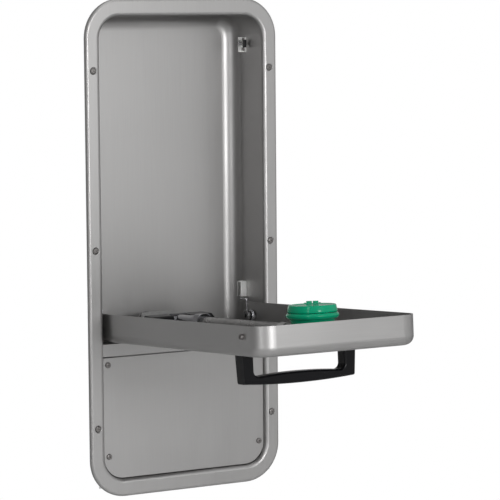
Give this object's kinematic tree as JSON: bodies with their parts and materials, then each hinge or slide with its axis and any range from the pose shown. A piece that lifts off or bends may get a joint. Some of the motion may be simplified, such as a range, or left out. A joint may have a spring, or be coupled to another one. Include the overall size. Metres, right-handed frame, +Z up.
{
  "type": "recessed eyewash station",
  "caption": "Wall-recessed eyewash station: stainless cabinet with a swing-down drain pan that carries a pipe arm and a covered spray head.",
  "frame": {"origin": "centre of the wall-screw pattern, on the wall plane behind the flange", "axes": "+X to the right seen from the room, +Y into the wall, +Z up"},
  "size_m": [0.35, 0.5637, 0.794],
  "materials": {
    "satin_stainless": "satin",
    "zinc_bracket": "satin",
    "steel_fastener": "bright",
    "spring_wire": "bright",
    "black_nylon": "matte",
    "black_gloss": "gloss",
    "chrome_plate": "polished",
    "steel_pipe": "satin",
    "green_plastic": "gloss",
    "white_plastic": "matte",
    "brass_fitting": "satin",
    "black_rubber": "matte",
    "blue_vinyl": "satin"
  },
  "bodies": {
    "cabinet_body": {"access_panel": "satin_stainless", "bearing_block": "black_nylon", "bracket_screws": "steel_fastener", "cabinet": "satin_stainless", "catch_bracket_left": "zinc_bracket", "catch_bracket_right": "zinc_bracket", "catch_spring_left": "spring_wire", "catch_spring_right": "spring_wire", "counterbalance_spring_left": "spring_wire", "counterbalance_spring_right": "spring_wire", "drain_trough": "satin_stainless", "flow_regulator": "brass_fitting", "hinge_bolts": "steel_fastener", "hinge_nuts": "steel_fastener", "hinge_spacers": "steel_fastener", "panel_rail_left": "zinc_bracket", "panel_rail_right": "zinc_bracket", "panel_screws": "steel_fastener", "rest_pads": "black_rubber", "rotor_seals": "black_rubber", "sill": "satin_stainless", "spring_anchor_left": "zinc_bracket", "spring_anchor_right": "zinc_bracket", "stop_valve_body": "brass_fitting", "supply_elbow": "black_nylon", "supply_riser": "steel_pipe", "supply_tail": "brass_fitting", "valve_body": "black_nylon", "valve_bracket": "zinc_bracket", "valve_screws": "steel_fastener", "wall_screws": "steel_fastener", "waste_nut": "chrome_plate", "waste_strainer": "steel_fastener", "waste_tailpiece": "steel_pipe"},
    "pan_body": {"pan": "satin_stainless", "guide_studs": "steel_fastener", "pivot_bushes": "black_nylon", "pull_handle": "black_gloss", "handle_screws": "steel_fastener", "valve_spindle": "steel_fastener", "swivel_hub": "chrome_plate", "union_nut": "chrome_plate", "arm_pipe": "steel_pipe", "arm_elbow": "chrome_plate", "pipe_saddle": "zinc_bracket", "saddle_screws": "steel_fastener", "head_base": "green_plastic", "head_ring": "green_plastic", "spray_plate": "white_plastic", "head_filter": "white_plastic", "head_locknut": "white_plastic", "lid_pin": "steel_fastener"},
    "lid_body": {"head_lid": "green_plastic"},
    "catch_left": {"catch_magnet_left": "black_nylon", "catch_stem_left": "steel_fastener"},
    "catch_right": {"catch_magnet_right": "black_nylon", "catch_stem_right": "steel_fastener"},
    "stop_lever": {"stop_valve_ball": "brass_fitting", "stop_valve_lever": "steel_fastener", "lever_sleeve": "blue_vinyl"}
  },
  "joints": [
    {"name": "pan_swing", "type": "hinge", "parent": "cabinet_body", "child": "pan_body", "pos_m": [0, 0.019, -0.1244], "axis": [-1, 0, 0], "range_deg": [0, 86.7]},
    {"name": "lid_flip", "type": "hinge", "parent": "pan_body", "child": "lid_body", "pos_m": [0.02151, -0.35495, -0.06277], "axis": [0.8387, -0.5437, 0.0314], "range_deg": [-110, 0]},
    {"name": "catch_left_slide", "type": "slide", "parent": "cabinet_body", "child": "catch_left", "axis": [0, 1, 0], "range_m": [0, 0.003], "stiffness_N_per_m": 1500, "deforming": ["catch_spring_left"]},
    {"name": "catch_right_slide", "type": "slide", "parent": "cabinet_body", "child": "catch_right", "axis": [0, 1, 0], "range_m": [0, 0.003], "stiffness_N_per_m": 1500, "deforming": ["catch_spring_right"]},
    {"name": "stop_valve_turn", "type": "hinge", "parent": "cabinet_body", "child": "stop_lever", "pos_m": [-0.036, 0.031, -0.275], "axis": [0, -1, 0], "range_deg": [0, 90]}
  ]
}
